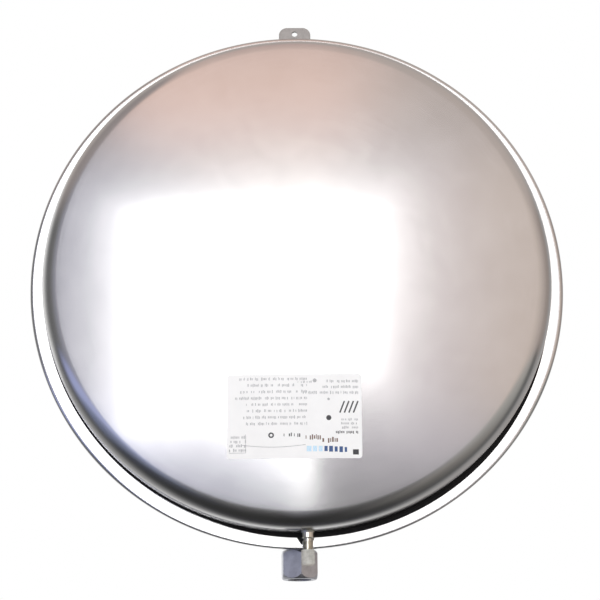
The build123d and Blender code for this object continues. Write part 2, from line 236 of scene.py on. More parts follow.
def pan_steel(name, colour, rough, seed=0.0):
    """Bright sheet steel, finely brushed in circles about the disc's axis, with faint handling marks."""
    m, t, b = material(name)
    b.inputs["Metallic"].default_value = 1.0
    b.inputs["Anisotropic"].default_value = 0.82
    b.inputs["Anisotropic Rotation"].default_value = 0.25
    tan = node(t, "ShaderNodeTangent", direction_type="RADIAL", axis="Y")
    t.links.new(tan.outputs[0], b.inputs["Tangent"])
    tc = node(t, "ShaderNodeTexCoord")
    mp = node(t, "ShaderNodeMapping", inputs={"Location": (0, 0, -DISC_Z * MM)})
    t.links.new(tc.outputs["Object"], mp.inputs["Vector"])
    sp = node(t, "ShaderNodeSeparateXYZ")
    t.links.new(mp.outputs[0], sp.inputs[0])
    x, y, z = sp.outputs
    r = maths(t, "SQRT", maths(t, "ADD", maths(t, "MULTIPLY", x, x), maths(t, "MULTIPLY", z, z)))
    # brushing: noise that is long round the axis and short along the radius, and calm at the axis itself
    away = maths(t, "ADD", r, 0.004)
    cv = node(t, "ShaderNodeCombineXYZ")
    t.links.new(maths(t, "MULTIPLY", r, 2600.0), cv.inputs[0])
    t.links.new(maths(t, "MULTIPLY", maths(t, "DIVIDE", z, away), 3.0), cv.inputs[1])
    t.links.new(maths(t, "MULTIPLY", maths(t, "DIVIDE", x, away), 3.0), cv.inputs[2])
    brush = node(t, "ShaderNodeTexNoise", inputs={"Scale": 1.0, "Detail": 3.0, "Roughness": 0.65})
    t.links.new(cv.outputs[0], brush.inputs["Vector"])
    # cloudy patches and small smudges
    cloud = node(t, "ShaderNodeTexNoise", inputs={"Scale": 9.0 + seed, "Detail": 4.0, "Roughness": 0.55})
    t.links.new(mp.outputs[0], cloud.inputs["Vector"])
    smudge = node(t, "ShaderNodeTexNoise", inputs={"Scale": 46.0 + seed, "Detail": 5.0, "Roughness": 0.6, "Distortion": 0.6})
    t.links.new(mp.outputs[0], smudge.inputs["Vector"])
    # roughness
    ro = maths(t, "ADD", rough - 0.02, maths(t, "MULTIPLY", cloud.outputs[0], 0.04))
    ro = maths(t, "ADD", ro, maths(t, "MULTIPLY", maths(t, "SUBTRACT", smudge.outputs[0], 0.5), 0.03))
    ro = maths(t, "ADD", ro, maths(t, "MULTIPLY", maths(t, "SUBTRACT", brush.outputs[0], 0.5), 0.035))
    t.links.new(ro, b.inputs["Roughness"])
    # colour
    dark = tuple(c * 0.93 for c in colour)
    cr = ramp(t, [(0.30, dark), (0.70, colour)], maths(t, "ADD", maths(t, "MULTIPLY", brush.outputs[0], 0.5), maths(t, "MULTIPLY", smudge.outputs[0], 0.5)))
    t.links.new(cr.outputs[0], b.inputs["Base Color"])
    bump = node(t, "ShaderNodeBump", inputs={"Strength": 0.05, "Distance": 0.0001})
    t.links.new(brush.outputs[0], bump.inputs["Height"])
    wave = node(t, "ShaderNodeBump", inputs={"Strength": 0.10, "Distance": 0.0004})
    t.links.new(cloud.outputs[0], wave.inputs["Height"])
    t.links.new(bump.outputs[0], wave.inputs["Normal"])
    t.links.new(wave.outputs[0], b.inputs["Normal"])
    return m


def plain_metal(name, colour, rough, grain=900.0, stretch=(1, 1, 1), bump=0.06, dirt=0.8, aniso=0.0):
    """Turned, drawn or stamped metal: a fine grain along one way and duller patches."""
    m, t, b = material(name)
    b.inputs["Metallic"].default_value = 1.0
    b.inputs["Anisotropic"].default_value = aniso
    tc = node(t, "ShaderNodeTexCoord")
    mp = node(t, "ShaderNodeMapping", inputs={"Scale": stretch})
    t.links.new(tc.outputs["Object"], mp.inputs["Vector"])
    fine = node(t, "ShaderNodeTexNoise", inputs={"Scale": grain, "Detail": 3.0, "Roughness": 0.6})
    t.links.new(mp.outputs[0], fine.inputs["Vector"])
    patch = node(t, "ShaderNodeTexNoise", inputs={"Scale": grain * 0.16, "Detail": 4.0, "Roughness": 0.6, "Distortion": 0.4})
    t.links.new(tc.outputs["Object"], patch.inputs["Vector"])
    cr = ramp(t, [(0.32, tuple(c * dirt for c in colour)), (0.62, colour)], patch.outputs[0])
    t.links.new(cr.outputs[0], b.inputs["Base Color"])
    ro = maths(t, "ADD", rough - 0.08, maths(t, "MULTIPLY", patch.outputs[0], 0.12))
    ro = maths(t, "ADD", ro, maths(t, "MULTIPLY", maths(t, "SUBTRACT", fine.outputs[0], 0.5), 0.10))
    t.links.new(ro, b.inputs["Roughness"])
    bp = node(t, "ShaderNodeBump", inputs={"Strength": bump, "Distance": 0.0001})
    t.links.new(fine.outputs[0], bp.inputs["Height"])
    t.links.new(bp.outputs[0], b.inputs["Normal"])
    return m


def rubber(name, colour=(0.012, 0.012, 0.013)):
    m, t, b = material(name)
    b.inputs["Specular IOR Level"].default_value = 0.4
    tc = node(t, "ShaderNodeTexCoord")
    n = node(t, "ShaderNodeTexNoise", inputs={"Scale": 700.0, "Detail": 3.0, "Roughness": 0.6})
    t.links.new(tc.outputs["Object"], n.inputs["Vector"])
    cr = ramp(t, [(0.35, tuple(c * 0.7 for c in colour)), (0.75, tuple(c * 1.8 for c in colour))], n.outputs[0])
    t.links.new(cr.outputs[0], b.inputs["Base Color"])
    t.links.new(maths(t, "ADD", 0.62, maths(t, "MULTIPLY", n.outputs[0], 0.2)), b.inputs["Roughness"])
    bp = node(t, "ShaderNodeBump", inputs={"Strength": 0.15, "Distance": 0.0001})
    t.links.new(n.outputs[0], bp.inputs["Height"])
    t.links.new(bp.outputs[0], b.inputs["Normal"])
    return m


def plastic(name, colour, rough=0.42):
    m, t, b = material(name)
    tc = node(t, "ShaderNodeTexCoord")
    n = node(t, "ShaderNodeTexNoise", inputs={"Scale": 1500.0, "Detail": 3.0, "Roughness": 0.55})
    t.links.new(tc.outputs["Object"], n.inputs["Vector"])
    d = node(t, "ShaderNodeTexNoise", inputs={"Scale": 260.0, "Detail": 4.0, "Roughness": 0.65})
    t.links.new(tc.outputs["Object"], d.inputs["Vector"])
    cr = ramp(t, [(0.34, tuple(c * 0.72 for c in colour)), (0.58, colour)], d.outputs[0])
    t.links.new(cr.outputs[0], b.inputs["Base Color"])
    t.links.new(maths(t, "ADD", rough - 0.07, maths(t, "MULTIPLY", n.outputs[0], 0.14)), b.inputs["Roughness"])
    bp = node(t, "ShaderNodeBump", inputs={"Strength": 0.12, "Distance": 0.00008})
    t.links.new(n.outputs[0], bp.inputs["Height"])
    t.links.new(bp.outputs[0], b.inputs["Normal"])
    return m


def film(name, colour=(0.90, 0.90, 0.89)):
    """White self-adhesive film with a faint fibre and a little grime."""
    m, t, b = material(name)
    tc = node(t, "ShaderNodeTexCoord")
    n = node(t, "ShaderNodeTexNoise", inputs={"Scale": 900.0, "Detail": 4.0, "Roughness": 0.6})
    t.links.new(tc.outputs["Object"], n.inputs["Vector"])
    d = node(t, "ShaderNodeTexNoise", inputs={"Scale": 55.0, "Detail": 4.0, "Roughness": 0.6})
    t.links.new(tc.outputs["Object"], d.inputs["Vector"])
    cr = ramp(t, [(0.25, tuple(c * 0.95 for c in colour)), (0.6, colour)], d.outputs[0])
    t.links.new(cr.outputs[0], b.inputs["Base Color"])
    t.links.new(maths(t, "ADD", 0.34, maths(t, "MULTIPLY", n.outputs[0], 0.16)), b.inputs["Roughness"])
    bp = node(t, "ShaderNodeBump", inputs={"Strength": 0.08, "Distance": 0.00006})
    t.links.new(n.outputs[0], bp.inputs["Height"])
    t.links.new(bp.outputs[0], b.inputs["Normal"])
    return m


def ink(name, colour):
    m, t, b = material(name)
    tc = node(t, "ShaderNodeTexCoord")
    n = node(t, "ShaderNodeTexNoise", inputs={"Scale": 1400.0, "Detail": 3.0, "Roughness": 0.6})
    t.links.new(tc.outputs["Object"], n.inputs["Vector"])
    cr = ramp(t, [(0.30, colour), (0.75, tuple(min(1.0, c * 1.25 + 0.03) for c in colour))], n.outputs[0])
    t.links.new(cr.outputs[0], b.inputs["Base Color"])
    t.links.new(maths(t, "ADD", 0.40, maths(t, "MULTIPLY", n.outputs[0], 0.15)), b.inputs["Roughness"])
    return m


M = {
    "front_pan_steel": pan_steel("front_pan_steel", (0.665, 0.66, 0.655), 0.185),
    "rear_pan_steel": pan_steel("rear_pan_steel", (0.67, 0.665, 0.66), 0.20, seed=1.7),
    "membrane_rubber": rubber("membrane_rubber", (0.006, 0.006, 0.0065)),
    "socket_steel": plain_metal("socket_steel", (0.64, 0.65, 0.69), 0.46, grain=1100.0, stretch=(0.25, 0.25, 2.0)),
    "lug_steel": plain_metal("lug_steel", (0.36, 0.355, 0.345), 0.50, grain=1300.0, stretch=(2.0, 1.0, 0.3)),
    "plated_brass": plain_metal("plated_brass", (0.80, 0.78, 0.70), 0.22, grain=2200.0, stretch=(0.3, 0.3, 2.0)),
    "core_brass": plain_metal("core_brass", (0.80, 0.60, 0.28), 0.28, grain=3000.0, stretch=(0.3, 0.3, 2.0)),
    "pin_steel": plain_metal("pin_steel", (0.68, 0.66, 0.60), 0.25, grain=4000.0, stretch=(2.0, 2.0, 0.2)),
    "spring_steel": plain_metal("spring_steel", (0.60, 0.60, 0.60), 0.28, grain=4000.0),
    "core_rubber": rubber("core_rubber", (0.02, 0.02, 0.02)),
    "cap_plastic": plastic("cap_plastic", (0.56, 0.55, 0.51)),
    "label_film": film("label_film", (0.93, 0.93, 0.925)),
    "ink_grey": ink("ink_grey", (0.40, 0.40, 0.41)),
    "ink_black": ink("ink_black", (0.035, 0.035, 0.04)),
    "ink_brown": ink("ink_brown", (0.16, 0.095, 0.07)),
    "ink_sky": ink("ink_sky", (0.52, 0.70, 0.90)),
    "ink_navy": ink("ink_navy", (0.03, 0.08, 0.22)),
}
slots = {s["node"]: s["material_slot"] for s in frame["record"]["subparts"]}
for n, o in nodes.items():
    o.data.materials.clear()
    o.data.materials.append(M[slots[n]])

# ---- both pans, as dense turned meshes ------------------------------------------------------------------------------
STEP = math.radians(360 / 400)
even = [i * STEP for i in range(400)]

front = [(FLANGE_R, -HALF)]
root = (WALL_R + ROOT_R, -(HALF + ROOT_R))
front += seg((FLANGE_R, -HALF), (root[0], -HALF), 3)
front += arc(*root, ROOT_R, 90, 180, 8, first=False)
front += seg((WALL_R, root[1]), (WALL_R, -FRONT_WALL), 5)
front += pan_line(-1, FRONT_WALL, 0.0)[1:]
back = pan_line(-1, FRONT_WALL, SHEET, 16, 30)[::-1]
front += back
front += seg((WALL_R - SHEET, -FRONT_WALL), (WALL_R - SHEET, root[1]), 4)
front += arc(*root, ROOT_R + SHEET, 180, 90, 8, first=False)
front += seg((root[0], HALF), (FLANGE_R, HALF), 3)
shell = lathe("front_pan", front, even, "vessel", sharp=40)
bore_out(shell, (VALVE_X * MM, VALVE_Y * MM, (DISC_Z - WALL_R) * MM), (0, 0, 1), 4.05 * MM, 8 * MM)
shell.data.materials.append(M["front_pan_steel"])
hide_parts("front_shell")

# the notch in the fold's front leg: (x from the notch's middle, where the leg ends there)
NOTCH = [(-6.45, 0.0), (-6.2, 184.9), (-3.2, 190.35), (4.0, 190.45), (6.2, 185.3), (6.45, 0.0)]


def leg_edge(a):
    """Inner edge of the fold's front leg: a circle off the disc's centre, with the notch beside the valve."""
    f = a - EDGE_DIR
    edge = max(RING_R, EDGE_OFF * math.cos(f) + math.sqrt(EDGE_R ** 2 - (EDGE_OFF * math.sin(f)) ** 2))
    if math.sin(a) < 0:
        x = edge * math.cos(a) - NOTCH_X
        for (x0, r0), (x1, r1) in zip(NOTCH, NOTCH[1:]):
            if x0 <= x <= x1:
                edge = max(edge, r0 + (r1 - r0) * (x - x0) / (x1 - x0))
    return edge


# how square the fold's front corner is round the rim: (degrees, exponent of the corner's curve, 2 is a circle)
CORNER = [(0, 1.6), (30, 1.6), (55, 1.4), (120, 1.4), (150, 1.7), (180, 2.0), (222, 2.0), (245, 4.0), (260, 5.0), (300, 5.0), (316, 3.5), (332, 1.9), (360, 1.6)]


def corner(a):
    a = math.degrees(a) % 360.0
    for (a0, n0), (a1, n1) in zip(CORNER, CORNER[1:]):
        if a0 <= a <= a1:
            t = (a - a0) / (a1 - a0)
            return n0 + (n1 - n0) * t * t * (3 - 2 * t)


def notched(r, d, a):
    if d <= -BACK0 + 0.01 and RING_R - 1e-6 <= r <= FOLD_R + 1e-6:
        return FOLD_R - (FOLD_R - r) * (FOLD_R - leg_edge(a)) / (FOLD_R - RING_R), d
    u, w = (r - FOLD_R) / BACK1, -d / BACK1
    if u > 1e-6 and w > 1e-6 and math.hypot(u, w) > 0.98:
        n = corner(a)
        k = (u ** n + w ** n) ** (-1.0 / n)
        return FOLD_R + (r - FOLD_R) * k, d * k
    return r, d


low = -math.pi / 2
close = sorted(set([round(low + math.radians(i * 0.06 - 1.5), 7) for i in range(0, 84)] + [round(a if a <= math.pi else a - 2 * math.pi, 7) for a in even]))
mixed = [a for i, a in enumerate(close) if not (low - math.radians(1.5) < a < low + math.radians(3.55)) or abs((math.degrees(a - low) + 1.5) / 0.06 - round((math.degrees(a - low) + 1.5) / 0.06)) < 1e-3]

rear = [(RING_R + 0.35, -BACK0)]
rear += seg((RING_R + 0.35, -BACK0), (FOLD_R, -BACK0), 7)
rear += arc(FOLD_R, 0, BACK0, -90, 90, 8, first=False)
rroot = (WALL_R + ROOT_R, BACK1 + ROOT_R)
rear += seg((FOLD_R, BACK0), (rroot[0], BACK0), 5)
rear += arc(*rroot, ROOT_R + SHEET, 270, 180, 8, first=False)
rear += seg((WALL_R - SHEET, rroot[1]), (WALL_R - SHEET, REAR_WALL), 6)
rear += pan_line(1, REAR_WALL, SHEET, 11, 18)[1:]
rear += pan_line(1, REAR_WALL, 0.0)[::-1]
rear += seg((WALL_R, REAR_WALL), (WALL_R, rroot[1]), 6)
rear += arc(*rroot, ROOT_R, 180, 270, 8, first=False)
rear += seg((rroot[0], BACK1), (FOLD_R, BACK1), 5)
rear += arc(FOLD_R, 0, BACK1, 90, 0, 12, first=False)
rear += arc(FOLD_R, 0, BACK1, 0, -90, 24, first=False)
rear += seg((FOLD_R, -BACK1), (RING_R + 0.35, -BACK1), 8)
rear += arc(RING_R + 0.35, -BACK1 + 0.35, 0.35, 270, 180, 5, first=False)
rear += seg((RING_R, -BACK1 + 0.35), (RING_R, -BACK0 - 0.35), 1)
rear += arc(RING_R + 0.35, -BACK0 - 0.35, 0.35, 180, 90, 5, first=False)[:-1]
shell = lathe("rear_pan", rear, mixed, "vessel", bend=notched, sharp=40)
bore_out(shell, (0, 0, (DISC_Z - WALL_R) * MM), (0, 0, 1), 5.5 * MM, 8 * MM)
shell.data.materials.append(M["rear_pan_steel"])
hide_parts("rear_shell")

# ---- label film and its print, which follow the crown -----------------------------------------------------------------
_, _, crown_y, _, _, _ = pan(-1, FRONT_WALL, 0.0)


def on_crown(x, z, lift):
    """Point of the front crown below (x, z from the disc's axis), lifted off it."""
    return (x, RIM_Y + crown_y - math.sqrt((CROWN_R + lift) ** 2 - x * x - z * z), DISC_Z + z)


def film_sheet(name, lift0, lift1):
    top = LABEL_H / 2
    ends = [0.0, 0.12, 0.4, 0.8, 1.3, 2.0]
    rows = [e - top for e in ends] + [2.0 - top + (LABEL_H - 4.0) * i / 26 for i in range(1, 26)] + [top - e for e in ends[::-1]]
    verts, faces, n = [], [], 49
    for lift in (lift1, lift0):
        for v in rows:
            over = max(0.0, abs(v) - (top - 2.0))
            half = LABEL_W / 2 - (2.0 - math.sqrt(max(0.0, 4.0 - over * over)))
            for i in range(n):
                verts.append(on_crown(LABEL_X + half * (2.0 * i / (n - 1) - 1.0), LABEL_Z + v, lift))
    m, back = len(rows), len(rows) * n
    for k in range(m - 1):
        for i in range(n - 1):
            a = k * n + i
            faces.append((a, a + 1, a + n + 1, a + n))
            faces.append((back + a, back + a + n, back + a + n + 1, back + a + 1))
        for i in (0, n - 1):
            a = k * n + i
            faces.append((a, a + n, back + a + n, back + a))
    for i in range(n - 1):
        for k in (0, m - 1):
            a = k * n + i
            faces.append((a, a + 1, back + a + 1, back + a))
    return put(name, verts, faces, "vessel", sharp=40)


TALL = 0.966        # the print's rows stand a little closer than drawn


class Print:
    """Raised ink marks in label millimetres: u to the right, v up, from the label's middle."""

    def __init__(self):
        self.verts, self.faces = [], []

    def strip(self, line, width, lift=0.03):
        """A closed ribbon along a line of (u, v) points."""
        start = len(self.verts)
        for i, (u, v) in enumerate(line):
            (u0, v0), (u1, v1) = line[max(0, i - 1)], line[min(len(line) - 1, i + 1)]
            length = math.hypot(u1 - u0, v1 - v0)
            nu, nv = -(v1 - v0) / length * width / 2, (u1 - u0) / length * width / 2
            for du, dv, up in ((nu, nv, lift), (-nu, -nv, lift), (-nu, -nv, -0.02), (nu, nv, -0.02)):
                self.verts.append(on_crown(LABEL_X + u + du, LABEL_Z + TALL * (v + dv), 0.17 + up))
        for i in range(len(line) - 1):
            a, b = start + 4 * i, start + 4 * i + 4
            for k in range(4):
                self.faces.append((a + k, a + (k + 1) % 4, b + (k + 1) % 4, b + k))
        a, b = start, start + 4 * (len(line) - 1)
        self.faces += [(a, a + 3, a + 2, a + 1), (b, b + 1, b + 2, b + 3)]

    def bar(self, u0, v0, u1, v1, width):
        n = max(1, math.ceil(math.hypot(u1 - u0, v1 - v0) / 5.0))
        self.strip([(u0 + (u1 - u0) * i / n, v0 + (v1 - v0) * i / n) for i in range(n + 1)], width)

    def dot(self, u, v, r, n=20):
        start = len(self.verts)
        for lift in (0.03, -0.02):
            for i in range(n):
                a = 2 * math.pi * i / n
                self.verts.append(on_crown(LABEL_X + u + r * math.cos(a), LABEL_Z + TALL * v + r * math.sin(a), 0.17 + lift))
        self.faces.append(tuple(range(start, start + n)))
        self.faces.append(tuple(range(start + n, start + 2 * n))[::-1])
        for i in range(n):
            j = (i + 1) % n
            self.faces.append((start + i, start + n + i, start + n + j, start + j))

    def ring(self, u, v, r, width, n=28):
        pts = [(u + r * math.cos(2 * math.pi * i / n), v + r * math.sin(2 * math.pi * i / n)) for i in range(n + 1)]
        self.strip(pts, width)

    def words(self, rng, right, left, v, height, ragged=0.0, fill=0.8):
        """A row of small blocks that reads as fine print, from its right end to its left."""
        u, stop = right, left + rng.random() * ragged
        while u > stop:
            for _ in range(rng.randint(2, 8)):
                w = height * rng.choice((0.34, 0.46, 0.52, 0.62))
                if u - w < stop:
                    u = stop - 1
                    break
                if rng.random() < fill:
                    tall = rng.choice((0.0, 0.0, 0.0, 0.32)) * height
                    drop = rng.choice((0.0, 0.0, 0.24)) * height
                    self.bar(u - w / 2, v - height / 2 - drop, u - w / 2, v + height / 2 + tall, w * 0.72)
                u -= w + height * 0.10
            u -= height * 0.75

    def make(self, name, ink_name):
        o = put(name, self.verts, self.faces, "vessel", smooth=False)
        o.data.materials.append(M[ink_name])
        return o


film_piece = film_sheet("label_sheet", 0.02, 0.17)
film_piece.data.materials.append(M["label_film"])
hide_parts("label")

rng = random.Random(11)
fine, dark, brown, sky, navy = Print(), Print(), Print(), Print(), Print()
for k, v in enumerate((26.2, 21.7, 17.2, 12.7, 8.2, 3.7, -0.8, -5.3)):
    fine.words(rng, 8.7, -41.0, v, 1.45, ragged=9.0 if k % 3 else 2.0)
for v in (24.4, 20.4, 16.4):
    fine.words(rng, 43.8, 15.5 if v > 20 else 3.5, v, 1.45, ragged=6.0)
fine.words(rng, 12.0, 2.0, 24.0, 1.2)
for v in (-2.6, -5.4, -8.2):
    fine.words(rng, 43.4, 31.0, v, 1.3, ragged=3.0)
for v in (-14.6, -17.6, -20.6, -23.6):
    fine.words(rng, -33.0, -45.0, v, 1.5, fill=0.9)
fine.bar(-33.4, -12.6, -33.4, -25.4, 0.35)
fine.bar(-33.4, -25.4, -44.6, -25.4, 0.35)
fine.strip([(-36.6 + 44.0 * i / 12, -18.6 - 3.0 * math.sin(math.pi * (0.15 + 0.7 * i / 12))) for i in range(13)], 0.40)
fine.dot(14.0, 25.0, 1.35)
fine.dot(23.4, 11.8, 0.9)
dark.dot(23.4, -1.3, 1.75)
dark.ring(-16.0, -13.3, 1.45, 1.0)
dark.words(rng, 4.0, -9.4, -13.2, 1.9, fill=0.9)
dark.words(rng, 43.4, 28.0, -11.4, 1.5, fill=0.95)
for i in range(4):
    dark.bar(31.0 + 3.1 * i, 2.2, 34.2 + 3.1 * i, 10.4, 1.0)
dark.bar(39.6, -25.2, 43.6, -25.2, 3.6)
brown.words(rng, 29.6, 18.5, -16.9, 2.6, fill=1.0)
brown.words(rng, 18.0, 7.2, -14.8, 2.3, fill=1.0)
for i, (u, w) in enumerate(((8.2, 3.2), (12.4, 2.8), (16.4, 2.6))):
    sky.bar(u, -22.8, u + w, -22.8, 3.8)
for u, w, h in ((20.2, 2.2, 3.6), (23.4, 2.6, 4.0), (27.2, 2.0, 3.6), (30.4, 2.4, 4.0), (34.0, 1.6, 3.4)):
    navy.bar(u, -22.8 - (u - 20) * 0.05, u + w, -22.8 - (u - 20) * 0.05, h)
fine.make("label_fine_print", "ink_grey")
dark.make("label_dark_print", "ink_black")
brown.make("label_brown_print", "ink_brown")
sky.make("label_sky_print", "ink_sky")
navy.make("label_navy_print", "ink_navy")


# ---- screw threads, welds and brazing -----------------------------------------------------------------------------------
def thread(name, cx, cy, root, crest, z0, z1, pitch, body, slot, steps=40):
    """A closed helical ridge from a root to a crest radius; it runs out over half a turn at both ends."""
    turns = (z1 - z0) / pitch
    count = int(turns * steps)
    inward = crest < root
    base = root + (0.06 if inward else -0.06)
    verts, faces = [], []
    for i in range(count + 1):
        a = 2 * math.pi * i / steps
        z = z0 + pitch * i / steps
        fade = min(1.0, min(i, count - i) / (steps / 2))
        top = root + (crest - root) * fade
        if abs(top - root) < 0.01:
            top = root + (0.01 if not inward else -0.01)
        for r, dz in ((base, -0.44 * pitch), (top, -0.08 * pitch), (top, 0.08 * pitch), (base, 0.44 * pitch)):
            verts.append((cx + r * math.cos(a), cy + r * math.sin(a), z + dz))
    for i in range(count):
        p, q = 4 * i, 4 * i + 4
        for k in range(4):
            j = (k + 1) % 4
            faces.append((p + k, p + j, q + j, q + k))
    faces += [(0, 3, 2, 1), (4 * count, 4 * count + 1, 4 * count + 2, 4 * count + 3)]
    o = put(name, verts, faces, body, sharp=30)
    o.data.materials.append(M[slot])
    return o


thread("stem_thread", VALVE_X, VALVE_Y, STEM_R, 3.86, STEM_MOUTH + 1.0, COLLAR_END - 1.6, 0.794, "vessel", "plated_brass")
thread("connection_thread", 0.0, 0.0, 8.331, 7.50, 1.0, 11.2, 1.337, "vessel", "socket_steel", steps=72)


def bead(name, cx, cy, radius, thick, body, slot, ripples, seed, flat=1.0, around=144):
    """A weld or brazing bead round a joint on the pans' lowest part, with the ripples of its making."""
    rng = random.Random(seed)
    phase = [rng.random() * 6.283 for _ in range(3)]
    verts, faces, m = [], [], 10
    for i in range(around):
        a = 2 * math.pi * i / around
        swell = 1.0 + 0.12 * math.sin(ripples * a + phase[0]) + 0.06 * math.sin(3 * a + phase[1]) + 0.05 * math.sin(7 * a + phase[2])
        x, y = cx + radius * math.cos(a), cy + radius * math.sin(a)
        depth = abs(y - RIM_Y)
        limit = REAR_WALL if y > RIM_Y else FRONT_WALL
        r = WALL_R if depth < limit else WALL_R - SHOULDER_R + math.sqrt(SHOULDER_R ** 2 - (depth - limit) ** 2)
        z = DISC_Z - math.sqrt(r * r - x * x)
        for k in range(m):
            b = 2 * math.pi * k / m
            out, up = thick * swell * math.cos(b), thick * swell * math.sin(b) * flat
            verts.append((cx + (radius + out) * math.cos(a), cy + (radius + out) * math.sin(a), z + up - thick * 0.15))
    for i in range(around):
        p, q = i * m, ((i + 1) % around) * m
        for k in range(m):
            j = (k + 1) % m
            faces.append((p + k, p + j, q + j, q + k))
    o = put(name, verts, faces, body)
    o.data.materials.append(M[slot])
    return o


bead("connection_weld", 0.0, 0.0, 11.7, 0.95, "vessel", "socket_steel", 34, 3)
bead("valve_brazing", VALVE_X, VALVE_Y, 4.45, 0.42, "vessel", "plated_brass", 9, 5, around=72)


def nugget(name, x, z, y, r, height, body, slot, seed):
    """The shallow print of a spot weld on a face that looks backward."""
    rng = random.Random(seed)
    verts, faces, n = [], [], 32
    rings = [(1.0, -0.05), (0.93, 0.55), (0.80, 1.0), (0.66, 0.75), (0.45, 0.25), (0.2, 0.1)]
    for f, h in rings:
        for i in range(n):
            a = 2 * math.pi * i / n
            w = 1.0 + 0.04 * math.sin(3 * a + seed)
            verts.append((x + r * f * w * math.cos(a), y + height * h, z + r * f * w * math.sin(a)))
    for k in range(len(rings) - 1):
        for i in range(n):
            j = (i + 1) % n
            faces.append((k * n + i, k * n + j, (k + 1) * n + j, (k + 1) * n + i))
    faces.append(tuple(range((len(rings) - 1) * n, len(rings) * n)))
    faces.append(tuple(range(n))[::-1])
    o = put(name, verts, faces, body)
    o.data.materials.append(M[slot])
    return o


LUG_BACK = RIM_Y + BACK1 + 2.0
for side, label in ((-1, "left"), (1, "right")):
    nugget("lug_weld_" + label, side * 6.2, DISC_Z + 188.6, LUG_BACK, 2.3, 0.22, "vessel", "lug_steel", 2 + side)


def coil(name, cx, cy, radius, wire, z0, z1, turns, body, slot, steps=40, around=12):
    """Round wire of radius wire, wound from z0 to z1."""
    verts, faces, count = [], [], int(turns * steps)
    rise = (z1 - z0) / (2 * math.pi * turns)
    for i in range(count + 1):
        a = 2 * math.pi * i / steps
        out = Vector((math.cos(a), math.sin(a), 0))
        along = Vector((-radius * math.sin(a), radius * math.cos(a), rise)).normalized()
        side = along.cross(out)
        mid = Vector((cx, cy, z0 + rise * a)) + out * radius
        for k in range(around):
            b = 2 * math.pi * k / around
            verts.append(tuple(mid + (out * math.cos(b) + side * math.sin(b)) * wire))
    for i in range(count):
        for k in range(around):
            p, q, j = i * around, (i + 1) * around, (k + 1) % around
            faces.append((p + k, p + j, q + j, q + k))
    faces += [tuple(range(around))[::-1], tuple(range(count * around, (count + 1) * around))]
    o = put(name, verts, faces, body, sharp=60)
    o.data.materials.append(M[slot])
    return o


# the valve core's spring, which shortens as its pin is pressed in, is wound here only at its rest length
SPRING0, SPRING1, PRESS = 15.98, 21.44, 1.2
spring = coil("core_coil", VALVE_X, VALVE_Y, 1.12, 0.13, SPRING0, SPRING1, 6.5, "vessel", "spring_steel")
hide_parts("core_spring")
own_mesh(spring)

# ---- stage ----------------------------------------------------------------------------------------------------------
FLOOR_Z = -1.25
floor = put("floor", [(-6, -6, FLOOR_Z), (6, -6, FLOOR_Z), (6, 6, FLOOR_Z), (-6, 6, FLOOR_Z)], [(0, 1, 2, 3)], None, scale=1.0, smooth=False)
m, t, b = material("floor_paper")
b.inputs["Base Color"].default_value = (0.86, 0.86, 0.85, 1)
b.inputs["Roughness"].default_value = 0.9
floor.data.materials.append(m)
floor.visible_glossy = False

# the room as the metal sees it: soft boxes, walls and a dark table edge as smooth fields of direction (azimuth 0 is the front, -Y)
world = bpy.data.worlds.new("studio")
bpy.context.scene.world = world
world.use_nodes = True
wt = world.node_tree
tc = node(wt, "ShaderNodeTexCoord")
sp = node(wt, "ShaderNodeSeparateXYZ")
wt.links.new(tc.outputs["Generated"], sp.inputs[0])
wx, wy, wz = sp.outputs
azimuth = maths(wt, "MULTIPLY", maths(wt, "ARCTAN2", wx, maths(wt, "MULTIPLY", wy, -1.0)), 180 / math.pi)
elevation = maths(wt, "MULTIPLY", maths(wt, "ARCSINE", wz), 180 / math.pi)
TOP = 2.0       # colours in the ramps are kept under 1 and scaled back by the strength


def rise(v, a, b):
    n = node(wt, "ShaderNodeMapRange", interpolation_type="SMOOTHSTEP")
    wt.links.new(v, n.inputs["Value"])
    n.inputs["From Min"].default_value, n.inputs["From Max"].default_value = a, b
    return n.outputs[0]


def fall(v, a, b):
    return maths(wt, "SUBTRACT", 1.0, rise(v, a, b))


def both(a, b):
    return maths(wt, "MULTIPLY", a, b)


def field(v, lo, hi, stops):
    """A ramp over lo..hi; a stop is (place, grey) or (place, (r, g, b))."""
    out = []
    for place, c in stops:
        c = (c, c, c) if isinstance(c, (int, float)) else c
        out.append(((place - lo) / (hi - lo), tuple(k / TOP for k in c)))
    u = maths(wt, "MULTIPLY", maths(wt, "SUBTRACT", v, lo), 1.0 / (hi - lo))
    return ramp(wt, out, u).outputs[0]


def blend(a, b, fac):
    n = node(wt, "ShaderNodeMixRGB")
    for v, i in ((fac, 0), (a, 1), (b, 2)):
        if isinstance(v, tuple):
            n.inputs[i].default_value = (*(k / TOP for k in v), 1)
        else:
            wt.links.new(v, n.inputs[i])
    return n.outputs[0]


